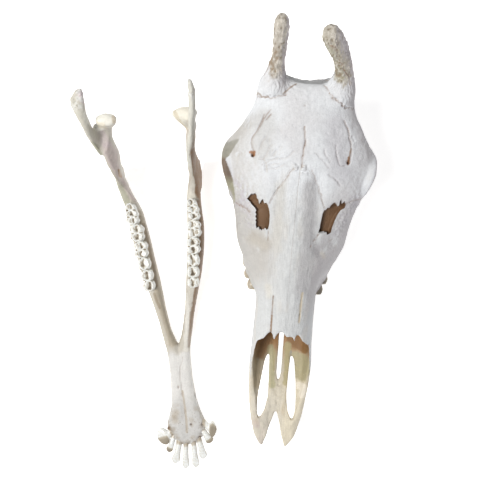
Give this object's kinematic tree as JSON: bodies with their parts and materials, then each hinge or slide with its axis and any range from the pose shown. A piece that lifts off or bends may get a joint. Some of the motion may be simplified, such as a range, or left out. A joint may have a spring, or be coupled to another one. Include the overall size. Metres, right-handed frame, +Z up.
{
  "type": "giraffe skull",
  "caption": "Dry skull of a young giraffe: cranium with ossicones and, beside it, the lower jaw, lying on their undersides as a still museum model.",
  "frame": {"origin": "centre of the bounding box at its bottom, on the table that the skull lies on", "axes": "+Y from the muzzles back to the ossicones, +X to the right as the camera sees it, with the cranium on the +X side and the lower jaw on the -X side, +Z up"},
  "size_m": [0.456, 0.7002, 0.3204],
  "materials": {
    "bleached_bone": "matt dry bone, bleached",
    "jaw_bone": "matt dry bone, creamy",
    "horn_bone": "rough weathered bone"
  },
  "bodies": {
    "root": {"cranium": "bleached_bone", "maxilla_left": "bleached_bone", "maxilla_right": "bleached_bone", "premaxilla_left": "bleached_bone", "premaxilla_right": "bleached_bone", "nasal_left": "bleached_bone", "nasal_right": "bleached_bone", "mandible_left": "jaw_bone", "mandible_right": "jaw_bone", "ossicone_left": "horn_bone", "ossicone_right": "horn_bone"}
  },
  "joints": []
}
